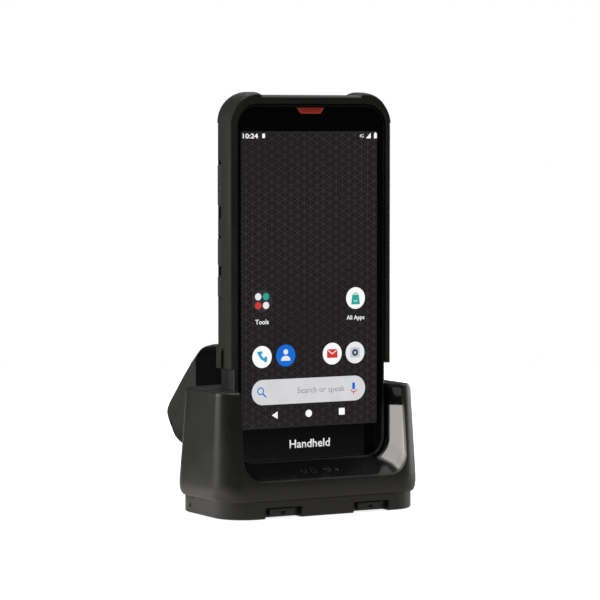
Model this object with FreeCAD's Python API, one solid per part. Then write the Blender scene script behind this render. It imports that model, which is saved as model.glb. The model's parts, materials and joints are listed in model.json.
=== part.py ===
import FreeCAD, Part
import math
import os
from FreeCAD import Vector

# Rugged handheld computer with a wrap-round handle frame and a pistol-style
# scan handle, standing upright in a single-bay charging cradle.
# Millimetres, +Z up, -Y is the front (screen side).
# Working frame: y = 0 is the outer face of the cover glass, z = 0 the table.
# On export everything moves by SHIFT_Y so that the origin is the centre of the
# anti-slip mat under the cradle.

os.makedirs("parts", exist_ok=True)

# ---------------------------------------------------------------- dimensions
SHIFT_Y = -10.0

# handheld
DEV_HW = 36.5            # half width of the bare handheld
DEV_Z0 = 20.7            # its lower end, seated in the cradle
DEV_Z1 = 172.7           # its upper end
DEV_R = 10.0             # corner radius seen from the front
DEV_YF = -0.6            # front of the frame (stands proud of the glass)
DEV_YS = 5.0             # parting plane of the two housings
DEV_YB = 13.4            # back of the rear housing
GLASS_W, GLASS_H, GLASS_R = 70.0, 148.0, 8.0
GLASS_Z0 = 22.7
WALL = 1.7

# side keys: (name, side, z0, z1)
KEYS = [("left_scan_key", -1, 129.5, 147.0),
        ("volume_up_key", -1, 104.6, 116.3),
        ("volume_down_key", -1, 91.3, 100.4),
        ("power_key", 1, 128.0, 140.0),
        ("right_scan_key", 1, 92.0, 110.0)]
KEY_Y0, KEY_Y1 = 7.95, 11.25
KEY_OUT, KEY_IN = 38.5, 34.8

# battery bay
BAY_HW, BAY_Z0, BAY_Z1, BAY_Y = 27.0, 78.0, 150.0, 7.2

# handle
PIN_Y, PIN_Z, PIN_R = 24.0, 58.0, 1.25
NECK_ZC = 53.0
ARM_Z = 62.0             # lower end of the handle frame's side arms

# cradle
CR_TOP = 53.0
SEAM_Z = 7.6
PORT_Y = 7.65            # centre of the charging port and dock plug


# ---------------------------------------------------------------- helpers
def V(x, y, z):
    return Vector(float(x), float(y), float(z))


def seg(a, b):
    return Part.LineSegment(a, b).toShape()


def arc3(a, m, b):
    return Part.Arc(a, m, b).toShape()


def rr(u0, u1, v0, v1, r, f):
    r = min(r, 0.499 * (u1 - u0), 0.499 * (v1 - v0))
    k = r * (1 - math.sqrt(0.5))
    return Part.Wire([
        seg(f(u0 + r, v0), f(u1 - r, v0)),
        arc3(f(u1 - r, v0), f(u1 - k, v0 + k), f(u1, v0 + r)),
        seg(f(u1, v0 + r), f(u1, v1 - r)),
        arc3(f(u1, v1 - r), f(u1 - k, v1 - k), f(u1 - r, v1)),
        seg(f(u1 - r, v1), f(u0 + r, v1)),
        arc3(f(u0 + r, v1), f(u0 + k, v1 - k), f(u0, v1 - r)),
        seg(f(u0, v1 - r), f(u0, v0 + r)),
        arc3(f(u0, v0 + r), f(u0 + k, v0 + k), f(u0 + r, v0))])


def box(x0, x1, y0, y1, z0, z1):
    return Part.makeBox(x1 - x0, y1 - y0, z1 - z0, V(x0, y0, z0))


def prism_y(x0, x1, z0, z1, r, y0, y1):
    if r <= 0:
        return box(x0, x1, y0, y1, z0, z1)
    w = rr(x0, x1, z0, z1, r, lambda u, v: V(u, y0, v))
    return Part.Face(w).extrude(V(0, y1 - y0, 0))


def prism_z(x0, x1, y0, y1, r, z0, z1):
    if r <= 0:
        return box(x0, x1, y0, y1, z0, z1)
    w = rr(x0, x1, y0, y1, r, lambda u, v: V(u, v, z0))
    return Part.Face(w).extrude(V(0, 0, z1 - z0))


def prism_x(y0, y1, z0, z1, r, x0, x1):
    if r <= 0:
        return box(x0, x1, y0, y1, z0, z1)
    w = rr(y0, y1, z0, z1, r, lambda u, v: V(x0, u, v))
    return Part.Face(w).extrude(V(x1 - x0, 0, 0))


def poly_y(pts, y0, y1):
    w = Part.makePolygon([V(x, y0, z) for x, z in pts] + [V(pts[0][0], y0, pts[0][1])])
    return Part.Face(w).extrude(V(0, y1 - y0, 0))


def poly_x(pts, x0, x1):
    w = Part.makePolygon([V(x0, y, z) for y, z in pts] + [V(x0, pts[0][0], pts[0][1])])
    return Part.Face(w).extrude(V(x1 - x0, 0, 0))


def cyl_x(y, z, r, x0, x1):
    return Part.makeCylinder(r, x1 - x0, V(x0, y, z), V(1, 0, 0))


def cyl_y(x, z, r, y0, y1):
    return Part.makeCylinder(r, y1 - y0, V(x, y0, z), V(0, 1, 0))


def cyl_z(x, y, r, z0, z1):
    return Part.makeCylinder(r, z1 - z0, V(x, y, z0), V(0, 0, 1))


def hexa_z(x, y, r, z0, z1):
    pts = [V(x + r * math.cos(math.radians(60 * i)), y + r * math.sin(math.radians(60 * i)), z0)
           for i in range(7)]
    return Part.Face(Part.makePolygon(pts)).extrude(V(0, 0, z1 - z0))


def loft(wires, ruled=True):
    return Part.makeLoft(wires, True, ruled)


def fuse(*s):
    out = s[0]
    for t in s[1:]:
        out = out.fuse(t)
    return out.removeSplitter()


def cut(a, *s):
    for t in s:
        a = a.cut(t)
    return a


def fil(shape, r, pick, label=""):
    """Fillet the edges whose bounding box the test picks."""
    edges = [e for e in shape.Edges if pick(e.BoundBox)]
    if not edges:
        print("no edges", label)
        return shape
    try:
        out = shape.makeFillet(r, edges)
        if out.isValid() and abs(out.Volume) > 0:
            return out
    except Exception as exc:
        print("fillet failed", label, exc)
        return shape
    print("fillet invalid", label)
    return shape


def helix(cx, cy, z0, z1, rad, wire, turns):
    pitch = (z1 - z0 - 2 * wire) / turns
    path = Part.makeHelix(pitch, pitch * turns, rad)
    prof = Part.Wire([Part.Circle(V(rad, 0, 0), V(0, 1, 0), wire).toShape()])
    s = Part.Wire(path.Edges).makePipeShell([prof], True, True)
    s.translate(V(cx, cy, z0 + wire))
    return s


SAVED = []


def save(name, shape, want=1):
    s = shape.copy()
    s.translate(V(0, SHIFT_Y, 0))
    sol = s.Solids
    if len(sol) == 1:
        s = sol[0]
    else:
        s = Part.makeCompound(sol)
    b = s.BoundBox
    ok = s.isValid()
    flag = "" if ok and len(sol) == want else "   <<<<<"
    print("%-20s %2d solids %s vol %9.1f  x %.2f..%.2f y %.2f..%.2f z %.2f..%.2f%s" % (
        name, len(sol), "ok" if ok else "BAD", s.Volume, b.XMin, b.XMax, b.YMin, b.YMax,
        b.ZMin, b.ZMax, flag))
    s.exportStep("parts/%s.step" % name)
    SAVED.append(name)


# ================================================================ handheld
ZC = 0.5 * (DEV_Z0 + DEV_Z1)

# screw positions that hold the two housings together
HS = [(sx * 32.4, z) for sx in (-1, 1) for z in (26.6, 166.8)]

# front frame: ring round the glass, rounded front edge
f = prism_y(-DEV_HW, DEV_HW, DEV_Z0, DEV_Z1, DEV_R, DEV_YF, DEV_YS)
f = fil(f, 1.4, lambda b: b.YMax < DEV_YF + 0.01, "front_frame")
f = cut(f,
        prism_y(-35.15, 35.15, 22.55, 170.85, 8.15, DEV_YF - 1, 1.05),
        prism_y(-33.25, 33.25, 25.7, 167.7, 6, 0, DEV_YS + 1))
groove = cut(prism_y(-35.6, 35.6, ZC - 75.1, ZC + 75.1, 9.1, 4.5, 5.5),
             prism_y(-35.0, 35.0, ZC - 74.5, ZC + 74.5, 8.5, 4.4, 5.6))
f = cut(f, groove)
f = cut(f, *[cyl_y(x, z, 0.8, 1.9, 5.5) for x, z in HS])
save("front_frame", f)

seal = cut(prism_y(-35.55, 35.55, ZC - 75.05, ZC + 75.05, 9.05, 4.55, 5.0),
           prism_y(-35.05, 35.05, ZC - 74.55, ZC + 74.55, 8.55, 4.4, 5.6))
save("housing_seal", seal)

# cover glass with a notch for the earpiece
g = prism_y(-35.0, 35.0, GLASS_Z0, GLASS_Z0 + GLASS_H, GLASS_R, 0, 1.0)
g = fil(g, 0.35, lambda b: b.YMax < 0.01, "glass")
notch = poly_y([(-7.0, 170.9), (7.0, 170.9), (7.0, 170.75), (5.1, 168.0), (-5.1, 168.0),
                (-7.0, 170.75)], -1, 2)
save("cover_glass", cut(g, notch))

grille = poly_y([(-6.7, 170.6), (6.7, 170.6), (4.85, 168.15), (-4.85, 168.15)], 0.05, 0.98)
holes = [cyl_y(-4.2 + 1.2 * i, 169.75, 0.3, -1, 2) for i in range(8)] + \
        [cyl_y(-3.6 + 1.2 * i, 168.9, 0.3, -1, 2) for i in range(7)]
save("earpiece_grille", cut(grille, *holes))

save("display_panel", prism_y(-33.1, 33.1, 34.7, 161.7, 2, 1.1, 2.5))
spk = cut(prism_y(-5, 5, 163.2, 167.2, 1, 1.2, 4.0), prism_y(-4, 4, 164.0, 166.4, 0.6, 0.9, 1.6))
save("earpiece_speaker", spk)

mid = prism_y(-33, 33, 26, 160, 8, 2.7, 3.5)
mid = cut(mid, *[prism_y(x - 9, x + 9, z - 14, z + 14, 3, 2, 4)
                 for x in (-18, 18) for z in (60, 110)])
mid = cut(mid, box(-1.5, 1.5, 2, 4, 90, 120))
save("mid_chassis", mid)

pcb = prism_y(-31, 31, 34, 156, 2, 3.7, 4.5)
pcb = cut(pcb, *[cyl_y(x, z, 1.2, 3, 5) for x in (-28.5, 28.5) for z in (37, 153)])
save("main_board", pcb)

cans = []
for x0, x1, z0, z1 in ((-22, 2, 92, 120), (5, 24, 96, 118), (-20, 20, 124, 148), (-18, 8, 46, 68)):
    c = cut(prism_y(x0, x1, z0, z1, 1, 4.5, 6.0), prism_y(x0 + .25, x1 - .25, z0 + .25, z1 - .25, .8, 4.4, 5.75))
    cans.append(c)
save("shield_cans", Part.makeCompound(cans), len(cans))

eng = fuse(box(-11, 11, 4.2, 11.4, 158.5, 167.3))
eng = cut(eng, box(-9, -2, 5.6, 10.6, 162.5, 168), cyl_z(4.5, 8.1, 2.6, 162, 168))
save("scan_engine", eng)
save("scan_window", prism_z(-9.9, 9.9, 5.7, 10.5, 1.2, 171.2, 172.5))

cam = fuse(box(-25, -15, 5.2, 9.0, 156.5, 165.5), cyl_y(-20, 161, 3.6, 8.9, 11.6))
cam = cut(cam, cyl_y(-20, 161, 1.6, 9.6, 12.5))
save("camera_module", cam)
bez = cut(cyl_y(-20, 161, 4.15, 12.0, 13.7), cyl_y(-20, 161, 3.2, 11, 14))
bez = fil(bez, 0.25, lambda b: b.YMin > 13.65, "bezel")
save("camera_bezel", bez)
save("camera_lens", cyl_y(-20, 161, 3.1, 12.3, 13.2))
save("flash_lens", cyl_y(-11, 161, 1.9, 12.0, 13.45))

# charging / data port at the lower end
port = cut(prism_z(-4.47, 4.47, PORT_Y - 1.65, PORT_Y + 1.65, 1.6, 20.95, 28.0),
           prism_z(-4.25, 4.25, PORT_Y - 1.35, PORT_Y + 1.35, 1.3, 20.0, 27.2))
tongue = box(-3.3, 3.3, PORT_Y - 0.33, PORT_Y + 0.33, 21.9, 27.6)
save("usb_port", fuse(port, tongue))

spk2 = cut(prism_y(14, 30, 26, 36, 2, 5.2, 10.2), prism_y(16, 28, 28, 34, 1.5, 9.4, 11))
save("loudspeaker", spk2)
vib = fuse(cyl_x(8.0, 40.0, 2.2, -30, -21), cut(cyl_x(8.0, 40.0, 2.0, -20.9, -18.4),
                                               box(-22, -17, 8.0, 11, 36, 44)))
vib = fuse(cyl_x(8.0, 40.0, 2.2, -30, -21), cyl_x(8.0, 40.0, 0.5, -21.2, -18.0),
           cut(cyl_x(8.0, 40.0, 2.0, -20.7, -18.4), box(-22, -17, 8.6, 11, 36, 44)))
save("vibration_motor", vib)

# switches behind the side keys, on flex feet from the board edge
sw = []
for name, side, z0, z1 in KEYS:
    zc = 0.5 * (z0 + z1)
    a = box(-33.1, -31.4, 4.55, 10.8, zc - 2.2, zc + 2.2)
    b = cyl_x(9.6, zc, 0.9, -33.45, -33.0)
    c = fuse(a, b)
    if side > 0:
        c = c.mirror(V(0, 0, 0), V(1, 0, 0))
    sw.append(c)
save("side_key_switches", Part.makeCompound(sw), len(sw))

# rear housing
r = prism_y(-DEV_HW, DEV_HW, DEV_Z0, DEV_Z1, DEV_R, DEV_YS, DEV_YB)
r = fil(r, 2.6, lambda b: b.YMin > DEV_YB - 0.01, "rear_housing")
r = cut(r, prism_y(-34.8, 34.8, ZC - 74.3, ZC + 74.3, 8.3, DEV_YS - 1, 11.8))
r = r.fuse(box(-28.4, 28.4, 6.2, 12.5, 76.6, 151.4))
for x, z in HS:
    r = r.fuse(cyl_y(x, z, 2.0, DEV_YS, 12.0))
r = r.removeSplitter()
r = cut(r, prism_y(-BAY_HW, BAY_HW, BAY_Z0, BAY_Z1, 2, BAY_Y, 15))
r = cut(r, box(-6.2, 6.2, 5, 8, 80, 84))
r = cut(r, prism_y(-7.3, 7.3, 72.2, 76.2, 0.8, 12.4, 15))
for x, z in HS:
    r = cut(r, cyl_y(x, z, 0.9, 4, 12), cyl_y(x, z, 1.7, 11.0, 15))
r = cut(r, cyl_y(-20, 161, 4.2, 11, 15), cyl_y(-11, 161, 2.0, 11, 15))
r = cut(r, prism_z(-10.0, 10.0, 5.6, 10.6, 1.3, 170, 174))
r = cut(r, prism_z(-4.55, 4.55, PORT_Y - 1.75, PORT_Y + 1.75, 1.7, 19, 24))
for i in range(6):
    r = cut(r, prism_y(16.4 + 2 * i, 17.4 + 2 * i, 28.2, 33.8, 0.45, 11, 15))
for name, side, z0, z1 in KEYS:
    xa, xb = (-38, -34) if side < 0 else (34, 38)
    r = cut(r, prism_x(KEY_Y0 - 0.1, KEY_Y1 + 0.1, z0 - 0.1, z1 + 0.1, 0.9, xa, xb))
save("rear_housing", r)

scr = []
for x, z in HS:
    s = fuse(cyl_y(x, z, 0.75, 2.0, 11.3), cyl_y(x, z, 1.6, 11.05, 12.5))
    hexpts = [V(x + 0.8 * math.cos(math.radians(60 * i)), 11.7, z + 0.8 * math.sin(math.radians(60 * i)))
              for i in range(7)]
    s = cut(s, Part.Face(Part.makePolygon(hexpts)).extrude(V(0, 2, 0)))
    scr.append(s)
save("housing_screws", Part.makeCompound(scr), 4)

for name, side, z0, z1 in KEYS:
    cap = prism_x(KEY_Y0, KEY_Y1, z0, z1, 0.8, -KEY_OUT, -KEY_IN + 0.05)
    cap = fil(cap, 0.55, lambda b: b.XMax < -KEY_OUT + 0.01, name)
    n = 3 if z1 - z0 > 15 else 0
    zc = 0.5 * (z0 + z1)
    for i in range(n):
        zz = zc + (i - 1) * 2.4
        cap = cut(cap, box(-KEY_OUT - 1, -KEY_OUT + 0.25, KEY_Y0 + 0.8, KEY_Y1 - 0.8, zz - 0.35, zz + 0.35))
    fl = box(-34.75, -34.05, 7.45, 11.6, z0 - 1.2, z1 + 1.2)
    k = fuse(cap, fl)
    if side > 0:
        k = k.mirror(V(0, 0, 0), V(1, 0, 0))
    save(name, k)

# battery, its contacts and its latch
bat = prism_y(-26.8, 26.8, 78.2, 149.8, 1.8, 7.35, 13.3)
bat = fil(bat, 0.5, lambda b: b.YMin > 13.25, "battery")
bat = cut(bat, prism_y(-8, 8, 143.5, 147.5, 1.5, 12.7, 14))
bat = cut(bat, box(-6.4, 6.4, 7.0, 7.65, 79.9, 84.1))
save("battery_pack", bat)
con = [box(-6, 6, 4.5, 7.1, 80.2, 83.8)]
con = [fuse(con[0], *[box(-5 + 2.6 * i, -3.8 + 2.6 * i, 7.0, 7.5, 80.8, 83.2) for i in range(4)])]
save("battery_contacts", con[0])
lat = prism_y(-6.8, 3.6, 72.4, 76.0, 0.7, 12.5, 13.9)
for i in range(4):
    lat = cut(lat, box(-4.6 + 1.8 * i, -3.8 + 1.8 * i, 13.55, 15, 72.9, 75.5))
save("battery_latch", lat)


# ================================================================ handle frame
def boot_wires(dx, dz, zbot=40.0):
    out = []
    for y, hw, zt, rad in ((-1.5, 37.9, 174.8, 12.2), (-1.15, 38.35, 175.2, 12.6), (-0.4, 38.7, 175.6, 13.0),
                           (1.6, 38.9, 175.9, 13.2), (5, 38.95, 176, 13.3), (9.0, 38.9, 176, 13.2),
                           (10.8, 38.35, 175.7, 12.6), (12.2, 37.6, 175.2, 11.9), (13.8, 36.7, 174.4, 11.0),
                           (15, 35.8, 173.4, 10.0)):
        out.append(rr(-hw - dx, hw + dx, zbot, zt + dz, rad, lambda u, v, yy=y: V(u, yy, v)))
    return out


boot = loft(boot_wires(0, 0))
fat = loft(boot_wires(0.3, 1.2))
# raised bumpers over the two upper corners
bump_r = poly_y([(24.2, 170), (24.2, 175.7), (26.4, 177.4), (28, 180), (46, 180), (46, 168.2),
                 (39.5, 166.4), (38.6, 164.2), (30, 164.2)], -5, 20)
# the corners lean in a little more than a plain arc
lean_r = poly_y([(39.4, 160.5), (38.9, 163.4), (38.45, 165.5), (37.95, 167.2), (37.35, 168.6), (36.7, 169.8),
                 (35.95, 171.0), (35.1, 172.2), (34.1, 173.4), (32.85, 174.6), (31.3, 175.8), (29.5, 176.75),
                 (27.0, 177.6), (27.0, 182), (52, 182), (52, 160.5)], -6, 21)
bump = fat.common(bump_r)
boot = boot.fuse(bump).fuse(bump.mirror(V(0, 0, 0), V(1, 0, 0)))
boot = boot.cut(lean_r).cut(lean_r.mirror(V(0, 0, 0), V(1, 0, 0)))
# thicker lower ends of the side arms
wide = loft(boot_wires(0.95, 0.0))
low_r = poly_y([(30, 60), (46, 60), (46, 69.4), (39.9, 69.2), (38.7, 71.2), (30, 71.2)], 5.5, 20)
low = wide.common(low_r)
boot = boot.fuse(low).fuse(low.mirror(V(0, 0, 0), V(1, 0, 0))).removeSplitter()
boot = cut(boot, box(-60, 60, -10, 30, 0, ARM_Z))
bridge = prism_y(-25, 25, 38, 71.4, 4, 13.6, 16.5)
bridge = fil(bridge, 0.8, lambda b: b.YMin > 16.45, "bridge")
boot = boot.fuse(bridge).removeSplitter()
boot = cut(boot, loft([rr(-36.58 + d, 36.58 - d, 15, DEV_Z1 + 0.08 - d, 10.08 - d, lambda u, v, yy=y: V(u, yy, v))
                       for y, d in ((DEV_YF - 0.08, 0), (11.0, 0), (12.2, 0.28), (13.0, 0.98), (13.5, 2.18))]))
boot = cut(boot, prism_y(-36.0, 36.0, 15, 172.2, 9.5, -3, 0))
boot = cut(boot, prism_y(-29, 29, 71.5, 167, 6, 13, 17))
# key windows, open to the back
for x0, x1, z0, z1 in ((-45, -35.5, 123.8, 148.8), (-45, -35.5, 91.0, 117.6),
                       (35.5, 45, 126.0, 142.4), (35.5, 45, 89.8, 112.2)):
    boot = cut(boot, prism_x(7.2, 12.35, z0, z1, 1.2, x0, x1))
    xo = 37.0 if x0 > 0 else -45
    boot = cut(boot, box(xo, xo + 8, 12.0, 20, z0 + 0.3, z1 - 0.3))
boot = cut(boot, prism_z(-12, 12, 4.4, 11.8, 1.6, 170, 180))
HM = [(sx * 9.0, z) for sx in (-1, 1) for z in (44.0, 62.0)]
for x, z in HM:
    boot = cut(boot, cyl_y(x, z, 1.2, 10, 20), cyl_y(x, z, 2.35, 10, 15.3))
save("handle_frame", boot)

hm = []
for x, z in HM:
    s = fuse(cyl_y(x, z, 1.1, 15.2, 21.4), cyl_y(x, z, 2.2, 13.75, 15.25))
    hexpts = [V(x + 1.0 * math.cos(math.radians(60 * i)), 13.0, z + 1.0 * math.sin(math.radians(60 * i)))
              for i in range(7)]
    s = cut(s, Part.Face(Part.makePolygon(hexpts)).extrude(V(0, 1.6, 0)))
    hm.append(s)
save("handle_mount_screws", Part.makeCompound(hm), 4)

# ---------------------------------------------------------------- scan handle
NECK = [(16.55, 13.0, 13.0, 8.8), (26, 12.6, 12.6, 8.8), (35, 12.5, 12.5, 8.8), (45, 13.6, 12.9, 8.6),
        (53, 16.2, 13.3, 7.2), (59, 17.6, 13.5, 6.6), (66, 17.8, 13.4, 6.5), (70.5, 17.6, 12.9, 6.4),
        (73.2, 16.7, 11.8, 5.8), (74.8, 15.0, 10.0, 5.0), (75.6, 12.6, 7.6, 4.2)]


def neck_loft(inset, ya, yb):
    ws = []
    for y, hw, hh, rad in NECK:
        if ya <= y <= yb:
            ws.append(rr(-hw + inset, hw - inset, NECK_ZC - hh + inset, NECK_ZC + hh - inset,
                         max(rad - inset, 0.8), lambda u, v, yy=y: V(u, yy, v)))
    return loft(ws)


neck = neck_loft(0, 0, 100)
inner = neck_loft(2.0, 22.0, 73.5)
neck_solid = neck.copy()
NS = [(44.0, 45.6), (61.0, 50.0)]
boss = [cyl_x(y, z, 2.7, -20, 20) for y, z in NS]
hollow = inner
for b in boss:
    hollow = hollow.cut(b)
hollow = hollow.cut(cyl_x(PIN_Y, PIN_Z, 2.9, -13, -7)).cut(cyl_x(PIN_Y, PIN_Z, 2.9, 7, 13))
neck = neck.cut(hollow)
neck = neck.cut(box(-7, 7, 19.2, 53.4, 52.6, 80))
neck = neck.common(neck_solid)
neck = neck.cut(cyl_x(PIN_Y, PIN_Z, 1.28, -10.6, 10.6))
for y, z in NS:
    neck = neck.cut(cyl_x(y, z, 1.05, -9, 12)).cut(cyl_x(y, z, 2.2, 9.6, 20))
for x, z in HM:
    neck = neck.cut(cyl_y(x, z, 1.15, 16, 21.6))
half_l = box(-60, -0.03, -30, 130, -30, 120)
half_r = box(0.03, 60, -30, 130, -30, 120)
save("neck_left_shell", neck.common(half_l))
save("neck_right_shell", neck.common(half_r))

DA = V(0, 0.75471, -0.65606)    # palm axis
DP = V(0, 0.65606, 0.75471)     # across the palm
PC = 86.5


def palm_pt(x, s, t):
    return V(x, DA.y * t + DP.y * s, DA.z * t + DP.z * s)


def palm_loft(levels, inset=0.0):
    ws = []
    for t, hw, hd, rad in levels:
        ws.append(rr(-hw + inset, hw - inset, PC - hd + inset, PC + hd - inset, max(rad - inset, 0.8),
                     lambda u, v, tt=t: palm_pt(u, v, tt)))
    return loft(ws)


PALM = [(12.0, 13.4, 11.4, 9.6), (13.3, 16.2, 13.2, 10.9), (15.2, 17.0, 14.2, 11.2), (24.0, 17.2, 14.5, 11.0),
        (34.0, 17.2, 14.5, 11.0), (51.9, 16.8, 14.2, 10.8)]
palm = palm_loft(PALM)
palm_in = palm_loft([(t, a, b, c) for t, a, b, c in PALM[2:]] + [(52.5, 16.8, 14.2, 10.8)], 2.0)
PS = [(34.0, PC), (46.0, PC)]
# the left half is made whole with its screw bosses, and the right half mirrors it
palm_l = palm.cut(palm_in).cut(neck_solid).common(half_l)
for t, s in PS:
    p = palm_pt(0, s, t)
    palm_l = palm_l.fuse(cyl_x(p.y, p.z, 2.9, -16.4, -0.03))
palm_l = palm_l.removeSplitter()
palm_r = palm_l.mirror(V(0, 0, 0), V(1, 0, 0))
for t, s in PS:
    p = palm_pt(0, s, t)
    palm_l = palm_l.cut(cyl_x(p.y, p.z, 1.05, -11, 14))
    palm_r = palm_r.cut(cyl_x(p.y, p.z, 1.05, -11, 14)).cut(cyl_x(p.y, p.z, 2.2, 12.2, 20))
save("grip_left_shell", palm_l)
save("grip_right_shell", palm_r)

cap = palm_loft([(52.0, 16.7, 14.1, 10.7), (54.2, 16.5, 13.9, 10.5), (56.1, 15.5, 12.9, 9.6),
                 (57.5, 13.3, 11.0, 7.9), (58.4, 10.5, 8.3, 5.5), (58.8, 6.9, 5.2, 3.0)])
la = palm_pt(0, PC, 54.4)
slot = prism_x(-1.6, 1.6, -1.1, 1.1, 1.0, -20, 20)
slot = slot.cut(box(-11.5, 11.5, -5, 5, -5, 5))
slot.translate(V(0, la.y, la.z))
cap = cap.cut(slot)
save("butt_cap", cap)

gs = []
for y, z, xh, xt in [(y, z, 9.6, -8.6) for y, z in NS] + \
        [(palm_pt(0, s, t).y, palm_pt(0, s, t).z, 12.2, -10.6) for t, s in PS]:
    s = fuse(cyl_x(y, z, 1.0, xt, xh + 0.1), cyl_x(y, z, 2.1, xh + 0.02, xh + 1.6))
    hp = [V(xh + 0.8, y + 1.0 * math.cos(math.radians(60 * i)), z + 1.0 * math.sin(math.radians(60 * i)))
          for i in range(7)]
    s = s.cut(Part.Face(Part.makePolygon(hp)).extrude(V(3, 0, 0)))
    gs.append(s)
save("grip_screws", Part.makeCompound(gs), 4)

# trigger on the scan side of the neck
trg = poly_x([(20.6, 63.5), (22.2, 68.6), (24.8, 71.0), (28.5, 71.6), (33, 70.9), (38, 69.6), (43, 68.9), (47.5, 68.6),
              (50.2, 67.6), (51.2, 64.8), (50.6, 61.6), (46, 58.2), (38, 56.2), (30, 55.2), (26.5, 54.6),
              (22.4, 54.6), (20.9, 57)], -6.5, 6.5)
trg = fil(trg, 1.2, lambda b: (b.XMax < -6.45 or b.XMin > 6.45) and b.ZMin > 63.0, "trigger")
trg = cut(trg, poly_x([(29, 66.5), (47, 65.2), (47, 60.8), (40, 58.2), (29, 57.2)], -4.9, 4.9))
trg = cut(trg, cyl_x(PIN_Y, PIN_Z, 1.31, -10, 10), cyl_x(PIN_Y, PIN_Z, 3.0, -8, -4.0))
save("trigger", trg)
save("trigger_pin", cyl_x(PIN_Y, PIN_Z, PIN_R, -10.5, 10.5))

sp = helix(0, 0, 0, 2.6, 1.95, 0.28, 4)
sp.rotate(V(0, 0, 0), V(0, 1, 0), 90)
sp.translate(V(-6.85, PIN_Y, PIN_Z))
save("trigger_spring", sp)

tsw = fuse(box(-3.2, 3.2, 28, 34, 42.8, 50), cyl_z(0, 31, 1.2, 49.9, 53.6), box(-1.5, 1.5, 28.5, 33.5, 42.55, 43))
save("trigger_switch", tsw)


# ================================================================ cradle
def cr_wires(levels, inset=0.0):
    return [rr(-hw + inset, hw - inset, ya + inset, yb - inset, max(rad - inset, 1.0),
               lambda u, v, zz=z: V(u, v, zz)) for z, hw, ya, yb, rad in levels]


def cr_at(z):
    k = (z - 14.0) / (53.0 - 14.0)
    return (z, 48.6 - 1.9 * k, -15.2 + 4.7 * k, 36.5 - 6.5 * k, 13.0 - 4.5 * k)


top = cr_at(51.9)
OUT = [(SEAM_Z, 47.3, -14.6, 35.6, 12.4), (8.3, 47.85, -14.95, 36.1, 12.8), (9.4, 48.3, -15.1, 36.4, 13.0),
       (11.5, 48.6, -15.2, 36.5, 13.0), cr_at(14.0), cr_at(33.0), top]
for dz, ins in ((0.55, 0.17), (0.88, 0.48), (1.1, 1.1)):
    z, hw, ya, yb, rad = cr_at(51.9 + dz)
    OUT.append((z, hw - ins, ya + ins, yb - ins, rad - ins))
outer = loft(cr_wires(OUT))


def u_wire(y, hw, zb, rad, zt=90.0):
    k = rad * (1 - math.sqrt(0.5))
    P = lambda u, v: V(u, y, v)
    return Part.Wire([seg(P(-hw, zt), P(-hw, zb + rad)), arc3(P(-hw, zb + rad), P(-hw + k, zb + k), P(-hw + rad, zb)),
                      seg(P(-hw + rad, zb), P(hw - rad, zb)), arc3(P(hw - rad, zb), P(hw - k, zb + k), P(hw, zb + rad)),
                      seg(P(hw, zb + rad), P(hw, zt)), seg(P(hw, zt), P(-hw, zt))])


def u_prism(y0, y1, hw, zb, rad):
    return Part.Face(u_wire(y0, hw, zb, rad)).extrude(V(0, y1 - y0, 0))


small = fuse(loft([u_wire(-20, 39.4, 13.1, 9.2), u_wire(-9.0, 39.2, 18.2, 8.6), u_wire(-3.4, 36.96, 20.85, 8.0),
                   u_wire(-2.5, 36.93, 21.35, 8.0), u_wire(-1.7, 36.9, 21.7, 8.0), u_wire(-0.85, 36.9, 21.8, 8.0)]),
             u_prism(-0.9, 13.9, 36.9, 20.6, 9.8))
big = fuse(loft([u_wire(-20, 41.4, 11.2, 11.0), u_wire(-9.0, 41.2, 16.3, 10.4), u_wire(-2.9, 38.6, 19.1, 9.6)]),
           u_prism(-3.0, 15.5, 38.5, 18.6, 11.2))
back_open = box(-27.5, 27.5, 13.0, 60, 36, 90)

# the gloss liner stops 1.3 mm behind the shell's outer skin, which forms the rim
inside = loft(cr_wires(OUT, 1.3)).common(box(-60, 60, -30, 60, 0, 51.6))
liner = big.common(inside)
cup = cut(liner.cut(small), back_open, prism_z(-9.2, 9.2, 3.8, 11.5, 1.0, 15, 22))
save("cradle_cup", cup)

cavity = loft(cr_wires([(z, hw, ya, yb, rad) for z, hw, ya, yb, rad in
                        [(7.0, 47.3, -14.6, 35.6, 12.4), (9.4, 48.25, -15.05, 36.35, 13.0), cr_at(14.0), cr_at(33.0),
                         cr_at(50.6)]], 2.3))
cavity = cavity.cut(box(-29.9, 29.9, 11.9, 60, 33.6, 90))
shell = outer.cut(liner).cut(small).cut(cavity).cut(back_open)
# screw bosses
BS = [(sx * 37.5, y) for sx in (-1, 1) for y in (-2.0, 24.5)]
for x, y in BS:
    b = cyl_z(x, y, 3.0, SEAM_Z + 0.1, 17.5)
    rib = box(min(x, math.copysign(47.2, x)), max(x, math.copysign(47.2, x)), y - 0.8, y + 0.8, SEAM_Z + 0.1, 16.0)
    shell = shell.fuse(b.cut(big)).fuse(rib.cut(big))
shell = shell.removeSplitter()
for x, y in BS:
    shell = shell.cut(cyl_z(x, y, 1.1, 5, 15.6))
# rear openings for the supply jack and the service port
shell = shell.cut(cyl_y(22, 16.9, 4.3, 30, 45)).cut(box(-28.7, -15.3, 30, 45, 12.55, 18.8))
shell = shell.common(outer)
save("cradle_shell", shell)

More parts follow.
